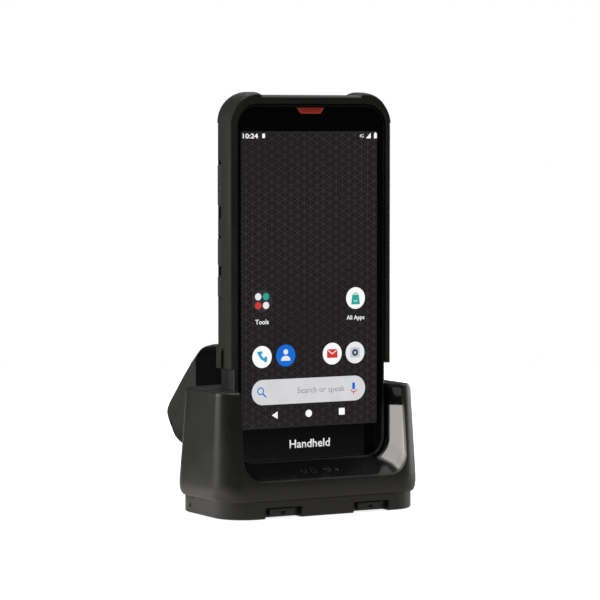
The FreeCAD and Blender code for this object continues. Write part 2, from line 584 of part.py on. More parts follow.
# base plinth
BHW, BY0, BY1, BR = 46.8, -14.8, 35.6, 14.0
base = prism_z(-BHW, BHW, BY0, BY1, BR, 0.3, SEAM_Z - 0.05)
base = fil(base, 0.8, lambda b: b.ZMax < 0.35, "base")
base_cav = prism_z(-BHW + 2.4, BHW - 2.4, BY0 + 2.4, BY1 - 2.4, BR - 2.2, 2.1, 10)
LS_C, LS_W = 21.2, 8.7
for sx in (-1, 1):
    xa, xb = sorted((sx * (LS_C - LS_W - 1.6), sx * (LS_C + LS_W + 1.6)))
    base_cav = base_cav.cut(box(xa, xb, -20, -7.4, 0, 6.3))
for x, y in BS:
    base_cav = base_cav.cut(cyl_z(x, y, 3.6, 0, 7.6))
for x, y in ((-27, 3), (27, 3), (-27, 27), (27, 27)):
    base_cav = base_cav.cut(cyl_z(x, y, 2.4, 0, 7.6))
base = base.cut(base_cav)
for x, y in ((-27, 3), (27, 3), (-27, 27), (27, 27)):
    base = base.fuse(cyl_z(x, y, 2.4, 2.0, 10.8))
base = base.removeSplitter()
for sx in (-1, 1):
    xa, xb = sorted((sx * (LS_C - LS_W), sx * (LS_C + LS_W)))
    base = base.cut(box(xa, xb, -20, -9.0, 0, 4.9))
base = base.cut(prism_z(-40.1, 40.1, -7.1, 27.1, 6, 0, 0.9))
for x, y in BS:
    base = base.cut(cyl_z(x, y, 1.25, 0, 9)).cut(cyl_z(x, y, 2.5, 0, 4.0))
# side panels' seats, wrapping round the rear corners
seat = box(-50, -30, 16.6, 40, 0.9, 7.0).cut(prism_z(-BHW + 0.85, BHW - 0.85, BY0 + 0.85, BY1 - 0.85, BR - 0.85, 0, 8))
base = base.cut(seat).cut(seat.mirror(V(0, 0, 0), V(1, 0, 0)))
save("cradle_base", base)

# link sockets in the front of the plinth: a stepped, keyed block deep in each recess
ls = []
for sx in (-1, 1):
    c = sx * LS_C
    b = box(c - 8.6, c + 8.6, -11.9, -9.1, 0.95, 4.8)
    blk = box(c - 6.3, c + 6.1, -14.1, -11.8, 1.6, 4.35)
    blk = blk.cut(box(c - 1.5, c + 0.9, -15, -12.4, 1.0, 3.3)).cut(box(c + 4.3, c + 7, -15, -13.0, 1.0, 3.6))
    ls.append(b.fuse(blk).removeSplitter())
save("link_sockets", Part.makeCompound(ls), 2)

# slim side panels with a small triangular mark
sc = prism_z(-BHW + 0.05, BHW - 0.05, BY0 + 0.05, BY1 - 0.05, BR - 0.05, 1.0, 6.9).cut(
    prism_z(-BHW + 0.8, BHW - 0.8, BY0 + 0.8, BY1 - 0.8, BR - 0.8, 0, 8))
sc = sc.common(box(-50, -30.1, 16.7, 40, 0, 8))
sc = sc.cut(poly_x([(19.0, 2.9), (21.4, 2.9), (20.2, 4.9)], -47.2, -46.4))
sc2 = sc.mirror(V(0, 0, 0), V(1, 0, 0))
save("side_covers", Part.makeCompound([sc, sc2]), 2)

mat = prism_z(-40, 40, -7, 27, 5.9, 0, 0.85)
for x, y in BS:
    mat = mat.cut(cyl_z(x, y, 2.9, -1, 2))
save("anti_slip_mat", mat)

bal = prism_z(-23, 23, -5, 30, 2, 2.15, 5.2)
bal = bal.cut(cyl_z(-27, 3, 3.2, 0, 8)).cut(cyl_z(27, 3, 3.2, 0, 8)).cut(cyl_z(0, 12, 3, 0, 8))
save("ballast_plate", bal)

brd = prism_z(-31, 31, -1, 29, 1.5, 10.85, 12.4)
brd = brd.cut(cyl_z(-20, 14, 1.2, 0, 20)).cut(cyl_z(20, 14, 1.2, 0, 20))
save("cradle_board", brd)

# sprung dock connector
dc = fuse(prism_z(-9, 9, 4.0, 11.3, 0.9, 13.5, 20.3), box(-13.2, 13.2, 2.5, 12.8, 16.6, 18.1))
plug = prism_z(-4.15, 4.15, PORT_Y - 1.2, PORT_Y + 1.2, 1.15, 20.2, 26.6)
dc = fuse(dc, plug)
dc = cut(dc, box(-3.5, 3.5, PORT_Y - 0.5, PORT_Y + 0.5, 21.0, 28))
save("dock_connector", dc)
cs = [helix(sx * 11.3, PORT_Y, 12.45, 16.55, 1.25, 0.22, 4) for sx in (-1, 1)]
save("connector_springs", Part.makeCompound(cs), 2)

jack = fuse(box(17.6, 26.4, 21.5, 32.0, 12.45, 21.3), cyl_y(22, 16.9, 4.1, 31.9, 35.3))
jack = jack.cut(cyl_y(22, 16.9, 2.9, 25, 40)).fuse(cyl_y(22, 16.9, 0.9, 24.8, 34.2))
save("power_jack", jack.removeSplitter())
up = box(-28.6, -15.4, 19.5, 35.3, 12.65, 18.7)
up = up.cut(box(-28.1, -15.9, 25, 40, 13.15, 18.2)).fuse(box(-27.2, -16.8, 24.9, 34.5, 16.0, 17.6))
save("service_port", up.removeSplitter())

bsx = []
for x, y in BS:
    s = fuse(cyl_z(x, y, 1.05, 3.9, 15.4), cyl_z(x, y, 2.4, 2.2, 3.98))
    s = s.cut(hexa_z(x, y, 1.2, 1.0, 3.2))
    bsx.append(s)
save("base_screws", Part.makeCompound(bsx), 4)

print(len(SAVED), "nodes")
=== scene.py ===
import bpy
import bmesh
import json
import math
from mathutils import Vector, Matrix, Euler


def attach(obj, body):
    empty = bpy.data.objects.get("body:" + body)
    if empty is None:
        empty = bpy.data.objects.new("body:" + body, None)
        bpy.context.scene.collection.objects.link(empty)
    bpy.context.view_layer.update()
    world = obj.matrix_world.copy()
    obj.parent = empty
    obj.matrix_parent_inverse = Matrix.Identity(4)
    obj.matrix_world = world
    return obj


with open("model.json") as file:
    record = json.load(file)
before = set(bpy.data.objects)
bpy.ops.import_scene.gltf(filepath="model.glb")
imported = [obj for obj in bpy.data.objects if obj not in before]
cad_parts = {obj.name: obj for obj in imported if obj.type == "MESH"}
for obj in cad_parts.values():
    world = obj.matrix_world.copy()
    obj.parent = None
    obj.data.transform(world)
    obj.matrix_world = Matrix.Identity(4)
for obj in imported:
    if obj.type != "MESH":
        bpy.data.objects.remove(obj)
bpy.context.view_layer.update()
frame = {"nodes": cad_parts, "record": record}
NODES = frame["nodes"]
MM = 0.001
SH = -10.0            # the frame's y is the working y shifted by this, in mm

scene = bpy.context.scene
scene.view_settings.view_transform = "Standard"
scene.view_settings.look = "None"
scene.view_settings.exposure = 0.0
scene.view_settings.gamma = 1.0

# ------------------------------------------------------------------ camera
cam_data = bpy.data.cameras.new("camera")
cam_data.sensor_width = 36.0
cam_data.lens = 179.45
cam_data.clip_start = 0.01
cam_data.clip_end = 50.0
cam = bpy.data.objects.new("camera", cam_data)
scene.collection.objects.link(cam)
BACK = Vector((-0.49196, -0.86865, 0.05858))
cam.location = (-0.62393, -1.10260, 0.16357)
cam.rotation_euler = (-BACK).to_track_quat("-Z", "Y").to_euler()
scene.camera = cam


# ------------------------------------------------------------------ materials
def lin(c):
    c = c / 255.0
    return c / 12.92 if c <= 0.04045 else ((c + 0.055) / 1.055) ** 2.4


def srgb(r, g, b):
    return (lin(r), lin(g), lin(b), 1.0)


def new_mat(name):
    m = bpy.data.materials.new(name)
    m.use_nodes = True
    nt = m.node_tree
    nt.nodes.clear()
    out = nt.nodes.new("ShaderNodeOutputMaterial")
    bsdf = nt.nodes.new("ShaderNodeBsdfPrincipled")
    nt.links.new(bsdf.outputs[0], out.inputs[0])
    return m, nt, bsdf


def noise(nt, coord, scale, detail=2.0, rough=0.5):
    n = nt.nodes.new("ShaderNodeTexNoise")
    n.inputs["Scale"].default_value = scale
    n.inputs["Detail"].default_value = detail
    n.inputs["Roughness"].default_value = rough
    nt.links.new(coord, n.inputs["Vector"])
    return n


def remap(nt, src, a, b, lo=0.3, hi=0.7):
    r = nt.nodes.new("ShaderNodeMapRange")
    r.inputs["From Min"].default_value = lo
    r.inputs["From Max"].default_value = hi
    r.inputs["To Min"].default_value = a
    r.inputs["To Max"].default_value = b
    nt.links.new(src, r.inputs["Value"])
    return r.outputs["Result"]


def mixc(nt, fac, a, b):
    m = nt.nodes.new("ShaderNodeMix")
    m.data_type = "RGBA"
    nt.links.new(fac, m.inputs["Factor"])
    m.inputs[6].default_value = a
    m.inputs[7].default_value = b
    return m.outputs[2]


def math_node(nt, op, a, b=None, c=None):
    m = nt.nodes.new("ShaderNodeMath")
    m.operation = op
    for i, v in enumerate((a, b, c)):
        if v is None:
            continue
        if isinstance(v, (int, float)):
            m.inputs[i].default_value = v
        else:
            nt.links.new(v, m.inputs[i])
    return m.outputs[0]


def moulded(name, col, rough, grain=0.45, grain_mm=0.35, depth_mm=0.02, var=0.22, rvar=0.07, coat=0.0,
            coat_rough=0.1, spec=0.5, metal=0.0, dust=0.0):
    """Moulded plastic or rubber: fine spark-eroded grain, slow colour and gloss variation."""
    m, nt, bsdf = new_mat(name)
    tc = nt.nodes.new("ShaderNodeTexCoord").outputs["Object"]
    slow = noise(nt, tc, 38.0, 3.0)
    mid = noise(nt, tc, 240.0, 3.0, 0.6)
    lo = (col[0] * (1 - var), col[1] * (1 - var), col[2] * (1 - var), 1.0)
    hi = (col[0] * (1 + var), col[1] * (1 + var), col[2] * (1 + var), 1.0)
    blend = math_node(nt, "MULTIPLY_ADD", mid.outputs[0], 0.4, math_node(nt, "MULTIPLY", slow.outputs[0], 0.6))
    base = mixc(nt, remap(nt, blend, 0.0, 1.0, 0.35, 0.65), lo, hi)
    if dust > 0:
        spot = noise(nt, tc, 900.0, 1.0, 0.5)
        f = remap(nt, spot.outputs[0], 0.0, dust, 0.70, 0.80)
        mm = nt.nodes.new("ShaderNodeMix")
        mm.data_type = "RGBA"
        nt.links.new(f, mm.inputs["Factor"])
        nt.links.new(base, mm.inputs[6])
        mm.inputs[7].default_value = (0.20, 0.19, 0.17, 1)
        base = mm.outputs[2]
    nt.links.new(base, bsdf.inputs["Base Color"])
    nt.links.new(remap(nt, slow.outputs[0], rough - rvar, rough + rvar), bsdf.inputs["Roughness"])
    bsdf.inputs["Metallic"].default_value = metal
    bsdf.inputs["Specular IOR Level"].default_value = spec
    bsdf.inputs["Coat Weight"].default_value = coat
    bsdf.inputs["Coat Roughness"].default_value = coat_rough
    if grain > 0:
        g1 = noise(nt, tc, 1000.0 / grain_mm, 2.0, 0.55)
        vor = nt.nodes.new("ShaderNodeTexVoronoi")
        vor.inputs["Scale"].default_value = 1000.0 / (grain_mm * 1.7)
        nt.links.new(tc, vor.inputs["Vector"])
        h = math_node(nt, "MULTIPLY_ADD", vor.outputs["Distance"], 0.5, g1.outputs[0])
        bump = nt.nodes.new("ShaderNodeBump")
        bump.inputs["Strength"].default_value = grain
        bump.inputs["Distance"].default_value = depth_mm * MM
        nt.links.new(h, bump.inputs["Height"])
        nt.links.new(bump.outputs[0], bsdf.inputs["Normal"])
    return m


def metal(name, col, rough=0.28, brushed=True):
    m, nt, bsdf = new_mat(name)
    tc = nt.nodes.new("ShaderNodeTexCoord").outputs["Object"]
    mp = nt.nodes.new("ShaderNodeMapping")
    mp.inputs["Scale"].default_value = (1, 1, 14) if brushed else (1, 1, 1)
    nt.links.new(tc, mp.inputs["Vector"])
    n = noise(nt, mp.outputs[0], 420.0, 3.0)
    nt.links.new(remap(nt, n.outputs[0], rough * 0.7, rough * 1.35), bsdf.inputs["Roughness"])
    nt.links.new(mixc(nt, n.outputs[0], (col[0] * .85, col[1] * .85, col[2] * .85, 1),
                      (min(col[0] * 1.12, 1), min(col[1] * 1.12, 1), min(col[2] * 1.12, 1), 1)), bsdf.inputs["Base Color"])
    bsdf.inputs["Metallic"].default_value = 1.0
    return m


def gloss_black(name, col=(0.0035, 0.0038, 0.0045), rough=0.04, spec=0.5, smudge=0.05):
    m, nt, bsdf = new_mat(name)
    tc = nt.nodes.new("ShaderNodeTexCoord").outputs["Object"]
    n = noise(nt, tc, 55.0, 4.0, 0.6)
    nt.links.new(remap(nt, n.outputs[0], rough, rough + smudge, 0.45, 0.75), bsdf.inputs["Roughness"])
    nt.links.new(mixc(nt, n.outputs[0], (col[0] * 0.8, col[1] * 0.8, col[2] * 0.8, 1),
                      (col[0] * 1.25, col[1] * 1.25, col[2] * 1.25, 1)), bsdf.inputs["Base Color"])
    bsdf.inputs["Specular IOR Level"].default_value = spec
    return m


def lit(name, col, strength=1.0, rough=0.06, var=0.03):
    """A lit patch of the display under glass: mostly its own light, with the glass's gloss."""
    m, nt, bsdf = new_mat(name)
    tc = nt.nodes.new("ShaderNodeTexCoord").outputs["Object"]
    n = noise(nt, tc, 160.0, 2.0)
    c = mixc(nt, n.outputs[0], (col[0] * (1 - var), col[1] * (1 - var), col[2] * (1 - var), 1),
             (min(col[0] * (1 + var), 1), min(col[1] * (1 + var), 1), min(col[2] * (1 + var), 1), 1))
    nt.links.new(c, bsdf.inputs["Emission Color"])
    bsdf.inputs["Emission Strength"].default_value = strength
    bsdf.inputs["Base Color"].default_value = (0.004, 0.004, 0.005, 1)
    bsdf.inputs["Roughness"].default_value = rough
    bsdf.inputs["Specular IOR Level"].default_value = 0.5
    return m


def wallpaper(name):
    """Dark picture with a faint isometric lattice of cubes, as a lit display under glass."""
    m, nt, bsdf = new_mat(name)
    tc = nt.nodes.new("ShaderNodeTexCoord").outputs["Object"]
    sep = nt.nodes.new("ShaderNodeSeparateXYZ")
    nt.links.new(tc, sep.inputs[0])
    x, z = sep.outputs["X"], sep.outputs["Z"]
    S = 0.0031
    lines = None
    for ang in (0.0, 60.0, 120.0):
        ca, sa = math.cos(math.radians(ang)), math.sin(math.radians(ang))
        u = math_node(nt, "MULTIPLY_ADD", x, ca / S, math_node(nt, "MULTIPLY", z, sa / S))
        fr = math_node(nt, "FRACT", math_node(nt, "ADD", u, 0.5))
        d = math_node(nt, "ABSOLUTE", math_node(nt, "SUBTRACT", fr, 0.5))
        ln = nt.nodes.new("ShaderNodeMapRange")
        ln.inputs["From Min"].default_value = 0.075
        ln.inputs["From Max"].default_value = 0.02
        nt.links.new(d, ln.inputs["Value"])
        lines = ln.outputs[0] if lines is None else math_node(nt, "MAXIMUM", lines, ln.outputs[0])
    # facets: a soft tone per triangle band
    n = noise(nt, tc, 300.0, 2.0)
    slow = noise(nt, tc, 18.0, 2.0)
    ramp = nt.nodes.new("ShaderNodeMix")
    ramp.data_type = "RGBA"
    nt.links.new(math_node(nt, "MULTIPLY", lines, remap(nt, slow.outputs[0], 0.45, 1.0)), ramp.inputs["Factor"])
    base = mixc(nt, n.outputs[0], srgb(26, 24, 25), srgb(36, 33, 35))
    nt.links.new(base, ramp.inputs[6])
    ramp.inputs[7].default_value = srgb(56, 52, 54)
    nt.links.new(ramp.outputs[2], bsdf.inputs["Emission Color"])
    bsdf.inputs["Emission Strength"].default_value = 1.0
    bsdf.inputs["Base Color"].default_value = (0.004, 0.004, 0.005, 1)
    bsdf.inputs["Roughness"].default_value = 0.05
    return m


M = {}
M["frame_black"] = moulded("frame_black", (0.017, 0.0175, 0.0165), 0.42, grain=0.35, grain_mm=0.4)
M["housing_black"] = moulded("housing_black", (0.013, 0.013, 0.013), 0.48, grain=0.5, grain_mm=0.45, depth_mm=0.03, spec=0.27)
M["bumper_black"] = moulded("bumper_black", (0.0235, 0.0235, 0.0215), 0.50, grain=0.5, grain_mm=0.4, depth_mm=0.025, dust=0.08, spec=0.27)
M["key_black"] = moulded("key_black", (0.024, 0.024, 0.024), 0.55, grain=0.3, grain_mm=0.3)
M["cradle_black"] = moulded("cradle_black", (0.0205, 0.0205, 0.0180), 0.31, grain=0.40, grain_mm=0.42, depth_mm=0.020, dust=0.12, rvar=0.05)
M["plinth_black"] = moulded("plinth_black", (0.0185, 0.0185, 0.0165), 0.34, grain=0.5, grain_mm=0.42, depth_mm=0.025, dust=0.10)
M["cup_gloss"] = moulded("cup_gloss", (0.0065, 0.0070, 0.0068), 0.13, grain=0.06, grain_mm=1.2, depth_mm=0.02, rvar=0.04, spec=0.6)
cg = M["cup_gloss"].node_tree
cgs = cg.nodes.new("ShaderNodeSeparateXYZ")
cg.links.new(cg.nodes["Texture Coordinate"].outputs["Object"], cgs.inputs[0])
cgn = noise(cg, cg.nodes["Texture Coordinate"].outputs["Object"], 60.0, 2.0)
satin = remap(cg, cgs.outputs["Z"], 0.135, 0.08, 0.0225, 0.0255)
cg.links.new(math_node(cg, "MULTIPLY_ADD", cgn.outputs[0], 0.06, satin), cg.nodes["Principled BSDF"].inputs["Roughness"])
M["screen_glass"] = gloss_black("screen_glass")
M["grip_grey"] = moulded("grip_grey", (0.060, 0.060, 0.057), 0.60, grain=0.6, grain_mm=0.55, depth_mm=0.035, dust=0.12, spec=0.08)
gn = M["grip_grey"].node_tree
gtc = gn.nodes["Texture Coordinate"].outputs["Object"]
gdot = gn.nodes.new("ShaderNodeVectorMath")
gdot.operation = "DOT_PRODUCT"
gn.links.new(gtc, gdot.inputs[0])
gdot.inputs[1].default_value = (0.0, 0.65606, 0.75471)
gw = math_node(gn, "SINE", math_node(gn, "MULTIPLY", gdot.outputs["Value"], 2 * math.pi / 0.0023))
gb = gn.nodes.new("ShaderNodeBump")
gb.inputs["Strength"].default_value = 0.8
gb.inputs["Distance"].default_value = 0.00016
gn.links.new(math_node(gn, "MULTIPLY", gw, 0.5), gb.inputs["Height"])
gn.links.new(gn.nodes["Bump"].outputs[0], gb.inputs["Normal"])
gn.links.new(gb.outputs[0], gn.nodes["Principled BSDF"].inputs["Normal"])
M["cap_grey"] = moulded("cap_grey", (0.034, 0.034, 0.032), 0.55, grain=0.45, grain_mm=0.45, spec=0.14)
# the neck is black rubber made near-black (0.0022) with almost no specular, far darker than the grip: painted shade
# for the neck sitting in shadow between the cradle and the handheld
M["neck_black"] = moulded("neck_black", (0.0022, 0.0024, 0.0023), 0.60, grain=0.35, grain_mm=0.45, spec=0.03)
M["trigger_black"] = moulded("trigger_black", (0.013, 0.013, 0.013), 0.40, grain=0.3, grain_mm=0.4)
M["grille_red"] = moulded("grille_red", (1.0, 0.10, 0.055), 0.42, grain=0.25, grain_mm=0.25, var=0.12)
M["grip_inlay"] = moulded("grip_inlay", (0.014, 0.014, 0.014), 0.62, grain=0.5, grain_mm=0.35)
M["clear_window"] = gloss_black("clear_window", (0.035, 0.003, 0.003), 0.03)
M["lens_glass"] = gloss_black("lens_glass", (0.004, 0.004, 0.009), 0.02)
M["flash_amber"] = moulded("flash_amber", (0.75, 0.70, 0.45), 0.25, grain=0.3, grain_mm=0.5, var=0.08)
M["steel"] = metal("steel", (0.55, 0.55, 0.56))
M["zinc"] = metal("zinc", (0.62, 0.62, 0.62), 0.22, False)
M["magnesium"] = metal("magnesium", (0.5, 0.51, 0.52), 0.45, False)
M["board_green"] = moulded("board_green", (0.02, 0.10, 0.05), 0.35, grain=0.3, grain_mm=0.8)
M["panel_grey"] = moulded("panel_grey", (0.05, 0.05, 0.06), 0.3, grain=0.1)
M["part_black"] = moulded("part_black", (0.03, 0.03, 0.03), 0.5)
M["contact_black"] = moulded("contact_black", (0.02, 0.02, 0.02), 0.45)
M["battery_dark"] = moulded("battery_dark", (0.020, 0.020, 0.021), 0.5, grain=0.5, grain_mm=0.5, depth_mm=0.03)
M["mat_rubber"] = moulded("mat_rubber", (0.013, 0.013, 0.013), 0.75, grain=0.7, grain_mm=0.8, depth_mm=0.05)
M["seal_rubber"] = moulded("seal_rubber", (0.03, 0.03, 0.03), 0.7)

SLOT = {s["node"]: s["material_slot"] for s in frame["record"]["subparts"]}
for node, obj in NODES.items():
    slot = SLOT.get(node)
    if slot in M:
        obj.data.materials.clear()
        obj.data.materials.append(M[slot])


# ------------------------------------------------------------------ CAD shells: soft moulded edges
def soften(node, width_mm, angle=32, seg=3):
    """Round the hard arrises a little, as a moulding has them, and shade smoothly."""
    o = NODES[node]
    me = o.data
    if "custom_normal" in me.attributes:
        me.attributes.remove(me.attributes["custom_normal"])
    for p in me.polygons:
        p.use_smooth = True
    w = o.modifiers.new("weld", "WELD")
    w.merge_threshold = 2e-6
    d = o.modifiers.new("flat", "DECIMATE")
    d.decimate_type = "DISSOLVE"
    d.angle_limit = math.radians(0.6)
    if width_mm > 0:
        b = o.modifiers.new("edge", "BEVEL")
        b.width = width_mm * MM
        b.segments = seg
        b.limit_method = "ANGLE"
        b.angle_limit = math.radians(angle)
        b.harden_normals = False
        b.use_clamp_overlap = True
        b.miter_outer = "MITER_ARC"
    n = o.modifiers.new("normals", "WEIGHTED_NORMAL")
    n.mode = "FACE_AREA"
    n.weight = 60
    n.keep_sharp = False
    return o


for node, w in (("handle_frame", 0.22), ("cradle_shell", 0.42), ("cradle_base", 0.22), ("cradle_cup", 0.25),
                ("front_frame", 0.10), ("rear_housing", 0.14), ("cover_glass", 0.0), ("side_covers", 0.10),
                ("link_sockets", 0.12), ("trigger", 0.2), ("battery_pack", 0.12), ("battery_latch", 0.1),
                ("left_scan_key", 0.08), ("volume_up_key", 0.08), ("volume_down_key", 0.08), ("power_key", 0.08),
                ("right_scan_key", 0.08), ("neck_left_shell", 0.12), ("neck_right_shell", 0.12),
                ("grip_left_shell", 0.12), ("grip_right_shell", 0.12), ("butt_cap", 0.12),
                ("dock_connector", 0.1), ("anti_slip_mat", 0.1), ("camera_bezel", 0.05), ("scan_window", 0.1)):
    soften(node, w)


# ------------------------------------------------------------------ mesh helpers
def obj_from_bm(bm, name, mat, body, smooth=False):
    bmesh.ops.recalc_face_normals(bm, faces=bm.faces)
    me = bpy.data.meshes.new(name)
    bm.to_mesh(me)
    bm.free()
    o = bpy.data.objects.new(name, me)
    scene.collection.objects.link(o)
    me.materials.append(mat)
    if smooth:
        for p in me.polygons:
            p.use_smooth = True
    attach(o, body)
    return o


Y_GLASS = SH * MM          # front face of the glass


class Layer:
    """Thin plates on the front of the glass, in x-z millimetres, gathered into one mesh."""

    def __init__(self, name, mat, lift, thick=0.02, slot="screen_glass"):
        self.bm = bmesh.new()
        self.name, self.mat, self.slot = name, mat, slot
        self.y0 = Y_GLASS - lift * MM
        self.y1 = Y_GLASS - (lift + thick) * MM

    def poly(self, pts):
        vs = [self.bm.verts.new((x * MM, self.y1, z * MM)) for x, z in pts]
        f = self.bm.faces.new(vs)
        back = [self.bm.verts.new((x * MM, self.y0, z * MM)) for x, z in pts]
        self.bm.faces.new(list(reversed(back)))
        n = len(pts)
        for i in range(n):
            j = (i + 1) % n
            self.bm.faces.new((vs[i], back[i], back[j], vs[j]))
        return self

    def disc(self, x, z, r, n=40, rz=None):
        rz = rz or r
        return self.poly([(x + r * math.cos(2 * math.pi * i / n), z + rz * math.sin(2 * math.pi * i / n)) for i in range(n)])

    def ring(self, x, z, r0, r1, a0=0.0, a1=360.0, n=40):
        """A ring sector as a row of quads."""
        full = abs(a1 - a0) >= 360
        k = n if full else n + 1
        A = [math.radians(a0 + (a1 - a0) * i / n) for i in range(k)]
        rows = []
        for y in (self.y1, self.y0):
            rows.append([[self.bm.verts.new(((x + r * math.cos(a)) * MM, y, (z + r * math.sin(a)) * MM)) for a in A]
                         for r in (r0, r1)])
        (fi, fo), (bi, bo) = rows
        m = n if full else n
        for i in range(m):
            j = (i + 1) % k
            self.bm.faces.new((fi[i], fo[i], fo[j], fi[j]))
            self.bm.faces.new((bi[i], bi[j], bo[j], bo[i]))
            self.bm.faces.new((fo[i], bo[i], bo[j], fo[j]))
            self.bm.faces.new((fi[i], fi[j], bi[j], bi[i]))
        if not full:
            self.bm.faces.new((fi[0], bi[0], bo[0], fo[0]))
            self.bm.faces.new((fi[-1], fo[-1], bo[-1], bi[-1]))
        return self

    def rrect(self, x0, x1, z0, z1, r, n=10):
        pts = []
        for cx, cz, a in ((x1 - r, z0 + r, -90), (x1 - r, z1 - r, 0), (x0 + r, z1 - r, 90), (x0 + r, z0 + r, 180)):
            for i in range(n + 1):
                t = math.radians(a + 90 * i / n)
                pts.append((cx + r * math.cos(t), cz + r * math.sin(t)))
        return self.poly(pts)

    def text(self, body, x, z, width=None, height=None, align="CENTER", bold=0.0):
        cu = bpy.data.curves.new("t", "FONT")
        cu.body = body
        cu.align_x = align
        cu.align_y = "CENTER"
        cu.size = 1.0
        cu.offset = bold
        cu.resolution_u = 3
        o = bpy.data.objects.new("t", cu)
        me = bpy.data.meshes.new_from_object(o)
        xs = [v.co.x for v in me.vertices]
        ys = [v.co.y for v in me.vertices]
        sx = width / (max(xs) - min(xs)) if width else None
        sz = height / (max(ys) - min(ys)) if height else None
        sx = sx or sz
        sz = sz or sx
        cx = 0.5 * (max(xs) + min(xs))
        cy = 0.5 * (max(ys) + min(ys))
        tmp = bmesh.new()
        tmp.from_mesh(me)
        bmesh.ops.remove_doubles(tmp, verts=tmp.verts, dist=1e-5)
        for v in tmp.verts:
            v.co = Vector(((x + (v.co.x - cx) * sx) * MM, self.y1, (z + (v.co.y - cy) * sz) * MM))
        geo = bmesh.ops.extrude_face_region(tmp, geom=list(tmp.faces))
        for v in [g for g in geo["geom"] if isinstance(g, bmesh.types.BMVert)]:
            v.co.y = self.y0
        out = bpy.data.meshes.new("t2")
        tmp.to_mesh(out)
        tmp.free()
        self.bm.from_mesh(out)
        bpy.data.meshes.remove(out)
        bpy.data.objects.remove(o)
        bpy.data.meshes.remove(me)
        return self

    def done(self, body="handheld"):
        return obj_from_bm(self.bm, self.name, self.mat, body)


# ------------------------------------------------------------------ the lit display picture
PIC = (-33.3, 32.5, 36.3, 160.7)
L = Layer("screen_picture", wallpaper("wallpaper"), 0.004, 0.012)
L.rrect(PIC[0], PIC[1], PIC[2], PIC[3], 0.6, 5)
L.done()

white = lit("screen_white", srgb(250, 250, 250)[:3], 1.0, var=0.01)
pill_m = lit("screen_pill", srgb(212, 212, 215)[:3], 1.0, var=0.10)
soft_w = lit("screen_soft_white", srgb(232, 232, 234)[:3], 1.0)
blue = lit("screen_blue", srgb(22, 108, 214)[:3], 1.0)
cyan = lit("screen_cyan", srgb(38, 158, 208)[:3], 1.0)
teal = lit("screen_teal", srgb(40, 165, 150)[:3], 1.0)
red = lit("screen_red", srgb(206, 58, 52)[:3], 1.0)
amber = lit("screen_amber", srgb(240, 178, 52)[:3], 1.0)
grey = lit("screen_grey", srgb(132, 132, 134)[:3], 1.0)
lgrey = lit("screen_light_grey", srgb(190, 196, 204)[:3], 1.0)
navy = lit("screen_navy", srgb(38, 52, 84)[:3], 1.0)
folder_m = lit("screen_folder", srgb(52, 49, 51)[:3], 1.0)

a = Layer("screen_white_marks", white, 0.018)
for cx, cz in ((21.97, 89.96), (-23.38, 66.54), (10.55, 66.69)):
    a.disc(cx, cz, 4.62, 56)
# navigation marks
a.poly([(-18.7, 41.8), (-15.95, 43.4), (-15.95, 40.2)])
a.disc(-0.90, 41.85, 1.55, 36)
a.rrect(13.8, 16.7, 40.5, 43.4, 0.3, 3)
# status marks
a.text("10:24", -28.8, 158.8, width=7.2, height=2.05, bold=0.02)
a.rrect(-23.2, -21.9, 157.9, 159.8, 0.3, 3)
a.poly([(27.0, 157.7), (29.4, 157.7), (29.4, 160.1)])
a.rrect(31.0, 32.4, 157.7, 159.9, 0.2, 3).rrect(31.4, 32.0, 159.8, 160.2, 0.1, 2)
a.text("4G", 24.9, 158.8, width=2.0, height=1.5)
a.text("Tools", -23.38, 81.2, width=6.4, bold=0.012)
a.text("All Apps", 21.99, 81.44, width=8.8, bold=0.012)
a.done()

b = Layer("screen_camera_disc", soft_w, 0.018)
b.disc(21.76, 66.74, 4.62, 56)
b.done()
c = Layer("screen_search_pill", pill_m, 0.018)
c.rrect(-28.29, 26.74, 46.3, 56.9, 5.29, 16)
c.done()
d = Layer("screen_contact_disc", blue, 0.018)
d.disc(-12.03, 66.74, 4.62, 56)
d.done()
f = Layer("screen_folder_disc", folder_m, 0.018)
f.disc(-23.37, 89.99, 4.7, 56)
f.done()

# folder: four small generic dots
e = Layer("screen_dots_white", soft_w, 0.042)
e.disc(-25.2, 91.8, 1.5, 28).disc(-21.5, 88.1, 1.5, 28)
# person
e.disc(-12.03, 68.25, 1.12, 28)
e.poly([(-14.3, 64.55)] + [(-12.03 + 2.27 * math.cos(math.radians(t)), 64.75 + 1.9 * math.sin(math.radians(t)))
                           for t in range(172, 4, -14)] + [(-9.76, 64.55)])
e.done()
e = Layer("screen_dots_teal", teal, 0.042)
e.disc(-21.5, 91.8, 1.5, 28)
# shopping bag
e.poly([(20.35, 91.35), (23.6, 91.35), (24.15, 87.25), (19.8, 87.25)])
e.ring(21.97, 91.2, 0.75, 1.15, 0, 180, 16)
e.done()
e = Layer("screen_dots_red", red, 0.042)
e.disc(-25.2, 88.1, 1.5, 28)
# envelope
e.rrect(8.0, 13.1, 64.9, 68.6, 0.4, 4)
# microphone foot
e.ring(21.05, 51.6, 1.35, 1.75, 200, 340, 16).rrect(20.85, 21.25, 49.0, 50.1, 0.1, 2)
e.done()
e = Layer("screen_cyan_marks", cyan, 0.042)
# handset
cx, cz = -21.3, 68.6
e.ring(cx, cz, 2.75, 3.95, 190, 260, 18)
for ang in (186, 264):
    t = math.radians(ang)
    px, pz = cx + 3.15 * math.cos(t), cz + 3.15 * math.sin(t)
    dx, dz = math.cos(t), math.sin(t)
    tx, tz = -dz, dx
    w, h = 1.15, 0.62
    e.poly([(px - dx * w - tx * h, pz - dz * w - tz * h), (px + dx * w - tx * h, pz + dz * w - tz * h),
            (px + dx * w + tx * h, pz + dz * w + tz * h), (px - dx * w + tx * h, pz - dz * w + tz * h)])
e.done()
e = Layer("screen_blue_marks", blue, 0.042)
